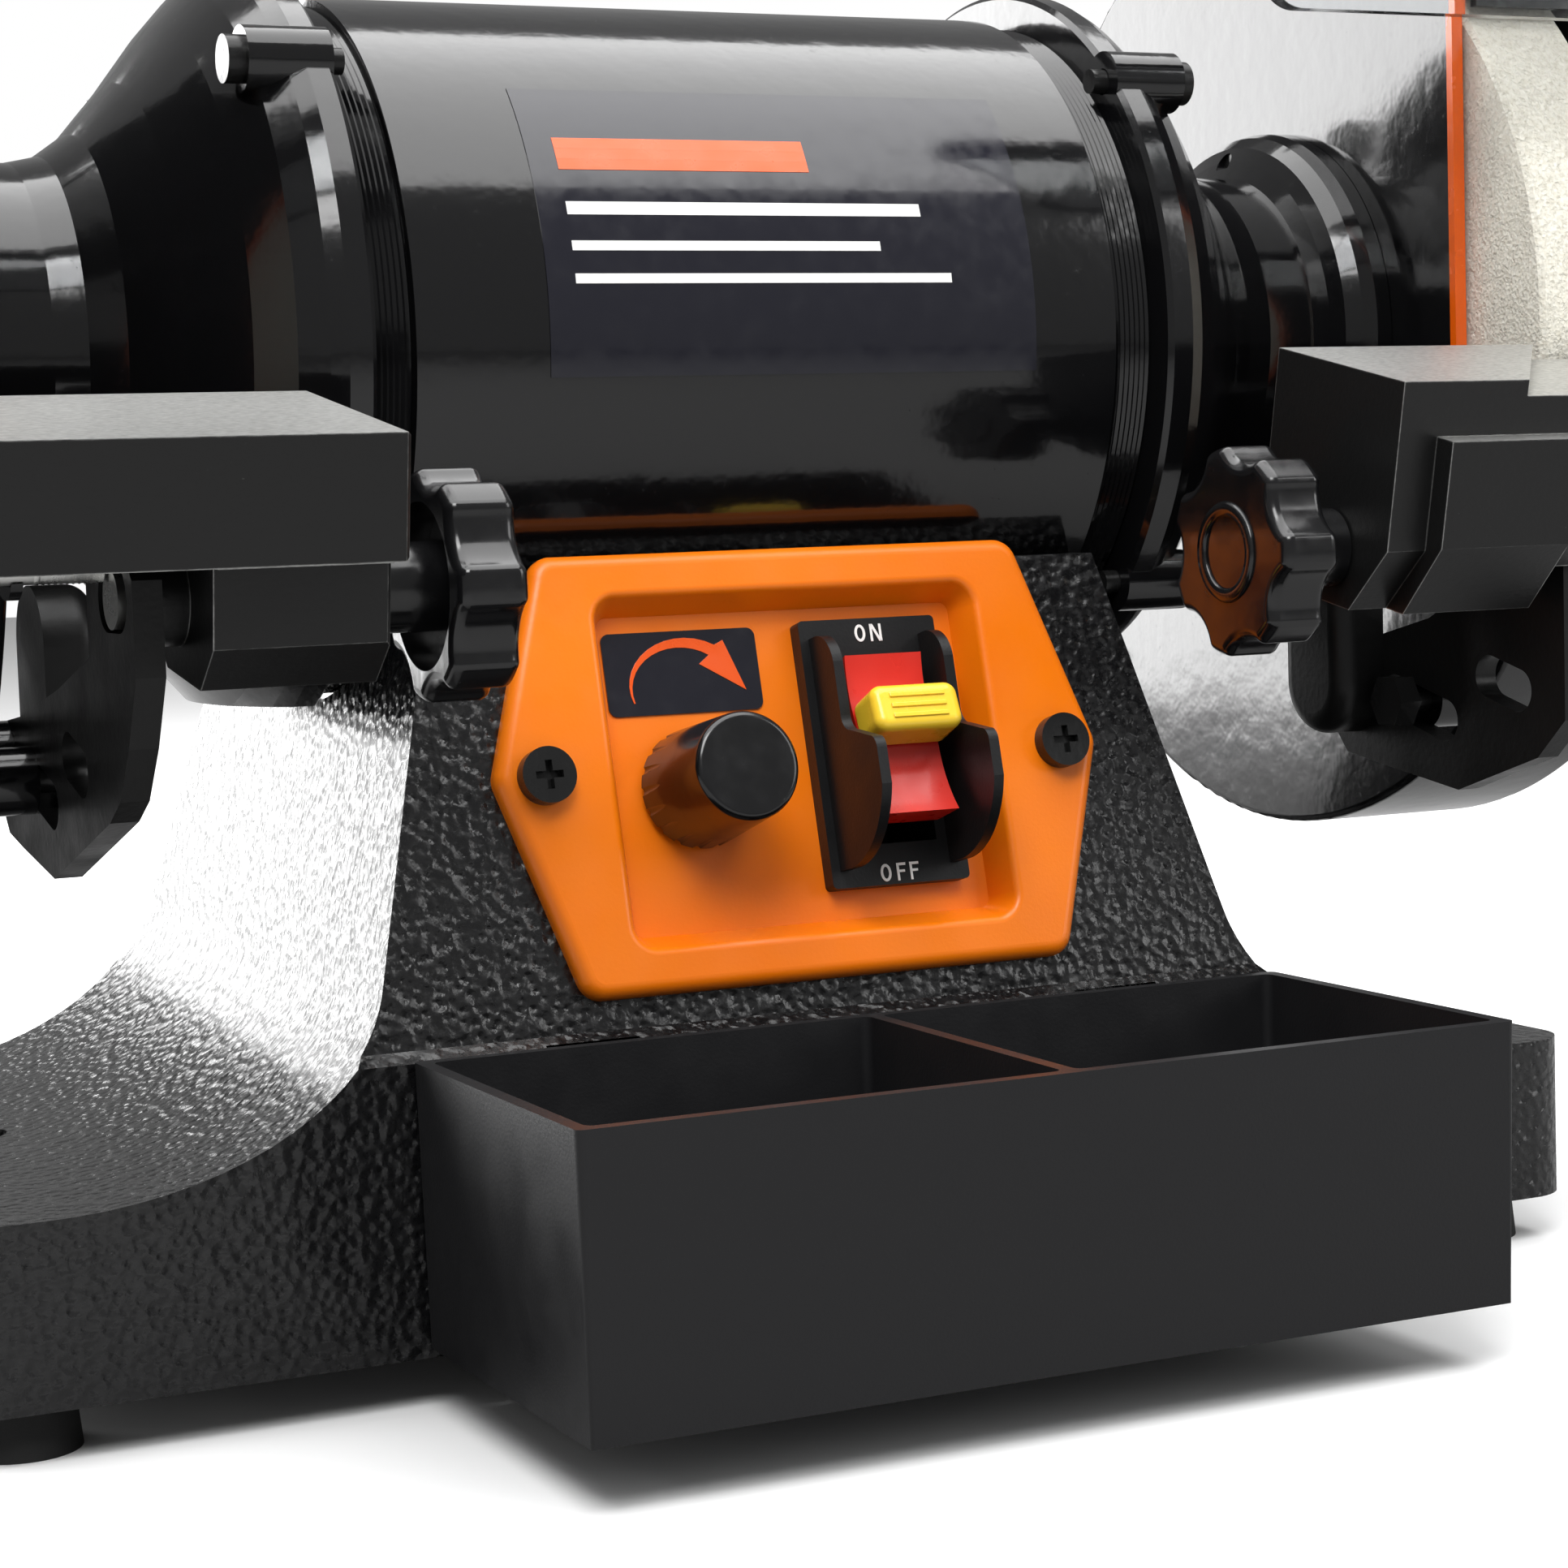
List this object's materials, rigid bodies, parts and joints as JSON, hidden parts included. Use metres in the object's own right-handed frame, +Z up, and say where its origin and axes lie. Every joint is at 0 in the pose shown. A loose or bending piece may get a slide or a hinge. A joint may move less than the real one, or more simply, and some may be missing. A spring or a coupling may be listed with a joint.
{
  "type": "bench grinder",
  "caption": "Variable-speed electric bench grinder with two guarded wheels, adjustable tool rests, tilting eye shields, a control panel with a keyed switch and a front water tray.",
  "frame": {"origin": "on the bench plane, straight below the centre of the motor shaft, midway between the two bench bolt holes", "axes": "+X along the shaft to the operator's right, -Y towards the operator, +Z up"},
  "size_m": [0.366, 0.2236, 0.261],
  "materials": {
    "black_casting": "hammered",
    "gloss_black": "gloss",
    "black_sheet": "satin",
    "black_rest": "satin, bare on top",
    "orange_plastic": "satin",
    "orange_trim": "gloss",
    "black_plastic": "matte",
    "knob_plastic": "gloss",
    "tray_plastic": "matte",
    "red_plastic": "satin",
    "yellow_plastic": "gloss",
    "zinc_steel": "plated",
    "black_steel": "satin",
    "ground_steel": "ground",
    "core_steel": "laminated",
    "copper_winding": "lacquered",
    "abrasive_white": "porous",
    "blotter_paper": "matte",
    "label_film": "gloss",
    "rubber_black": "matte",
    "clear_shield": "clear",
    "board_green": "matte",
    "capacitor_case": "gloss"
  },
  "bodies": {
    "frame": {"arrestor_screws": "black_steel", "arrow_label": "label_film", "base_casting": "black_casting", "bearings": "ground_steel", "bell_screws": "black_steel", "bottom_plate": "black_sheet", "bottom_plate_screws": "zinc_steel", "bracket_screws": "black_steel", "capacitor": "capacitor_case", "control_panel": "orange_plastic", "cord_gland": "black_plastic", "cover_screws": "zinc_steel", "foot_screws": "zinc_steel", "guard_screws": "black_steel", "guard_trims": "orange_trim", "left_end_bell": "gloss_black", "left_guard_cover": "gloss_black", "left_inner_guard": "gloss_black", "left_rest_bracket": "black_sheet", "left_shield_arm": "black_steel", "motor_bolts": "zinc_steel", "motor_label": "label_film", "motor_shell": "gloss_black", "panel_screws": "black_steel", "potentiometer": "zinc_steel", "right_end_bell": "gloss_black", "right_guard_cover": "gloss_black", "right_inner_guard": "gloss_black", "right_rest_bracket": "black_sheet", "right_shield_arm": "black_steel", "rubber_feet": "rubber_black", "shield_arm_screws": "black_steel", "speed_board": "board_green", "stator_core": "core_steel", "stator_windings": "copper_winding", "switch_housing": "black_plastic"},
    "rotor": {"rotor_core": "core_steel", "shaft": "ground_steel", "left_wheel": "abrasive_white", "right_wheel": "abrasive_white", "wheel_blotters": "blotter_paper", "wheel_flanges": "zinc_steel", "arbor_nuts": "zinc_steel"},
    "speed_control": {"speed_knob": "knob_plastic", "speed_spindle": "zinc_steel"},
    "rocker": {"switch_rocker": "red_plastic"},
    "key": {"safety_key": "yellow_plastic"},
    "tray": {"water_tray": "tray_plastic"},
    "left_clamp": {"left_rest_bolt": "zinc_steel"},
    "left_rest": {"left_tool_rest": "black_rest"},
    "left_knob": {"left_star_knob": "knob_plastic"},
    "left_arrestor": {"left_spark_arrestor": "black_steel"},
    "left_shield": {"left_eye_shield": "clear_shield", "left_shield_bar": "black_plastic"},
    "right_clamp": {"right_rest_bolt": "zinc_steel"},
    "right_rest": {"right_tool_rest": "black_rest"},
    "right_knob": {"right_star_knob": "knob_plastic"},
    "right_arrestor": {"right_spark_arrestor": "black_steel"},
    "right_shield": {"right_eye_shield": "clear_shield", "right_shield_bar": "black_plastic"}
  },
  "joints": [
    {"name": "rotor_spin", "type": "hinge", "parent": "frame", "child": "rotor", "pos_m": [0, 0, 0.157], "axis": [1, 0, 0], "continuous": true},
    {"name": "speed_turn", "type": "hinge", "parent": "frame", "child": "speed_control", "pos_m": [-0.0176, -0.05906, 0.08768], "axis": [0, -0.9703, 0.2419], "range_deg": [-135, 135]},
    {"name": "rocker_tilt", "type": "hinge", "parent": "frame", "child": "rocker", "pos_m": [0.0142, -0.05767, 0.09115], "axis": [1, 0, 0], "range_deg": [0, 21]},
    {"name": "key_pull", "type": "slide", "parent": "rocker", "child": "key", "axis": [0, -0.9026, 0.4305], "range_m": [0, 0.012]},
    {"name": "tray_lift", "type": "slide", "parent": "frame", "child": "tray", "axis": [0, 0, 1], "range_m": [0, 0.005]},
    {"name": "left_rest_slide", "type": "slide", "parent": "frame", "child": "left_clamp", "axis": [0, -1, 0], "range_m": [-0.001, 0.004]},
    {"name": "left_rest_tilt", "type": "hinge", "parent": "left_clamp", "child": "left_rest", "pos_m": [-0.095, -0.092, 0.121], "axis": [1, 0, 0], "range_deg": [-2, 10]},
    {"name": "left_knob_turn", "type": "hinge", "parent": "left_clamp", "child": "left_knob", "pos_m": [-0.068, -0.092, 0.121], "axis": [1, 0, 0], "continuous": true},
    {"name": "left_arrestor_slide", "type": "slide", "parent": "frame", "child": "left_arrestor", "axis": [0, 0, 1], "range_m": [-0.001, 0.005]},
    {"name": "left_shield_tilt", "type": "hinge", "parent": "frame", "child": "left_shield", "pos_m": [-0.128, -0.074, 0.253], "axis": [1, 0, 0], "range_deg": [-75, 15]},
    {"name": "right_rest_slide", "type": "slide", "parent": "frame", "child": "right_clamp", "axis": [0, -1, 0], "range_m": [-0.001, 0.004]},
    {"name": "right_rest_tilt", "type": "hinge", "parent": "right_clamp", "child": "right_rest", "pos_m": [0.095, -0.092, 0.121], "axis": [1, 0, 0], "range_deg": [-2, 10]},
    {"name": "right_knob_turn", "type": "hinge", "parent": "right_clamp", "child": "right_knob", "pos_m": [0.062, -0.092, 0.121], "axis": [1, 0, 0], "continuous": true},
    {"name": "right_arrestor_slide", "type": "slide", "parent": "frame", "child": "right_arrestor", "axis": [0, 0, 1], "range_m": [-0.001, 0.005]},
    {"name": "right_shield_tilt", "type": "hinge", "parent": "frame", "child": "right_shield", "pos_m": [0.128, -0.074, 0.253], "axis": [1, 0, 0], "range_deg": [-75, 15]}
  ]
}
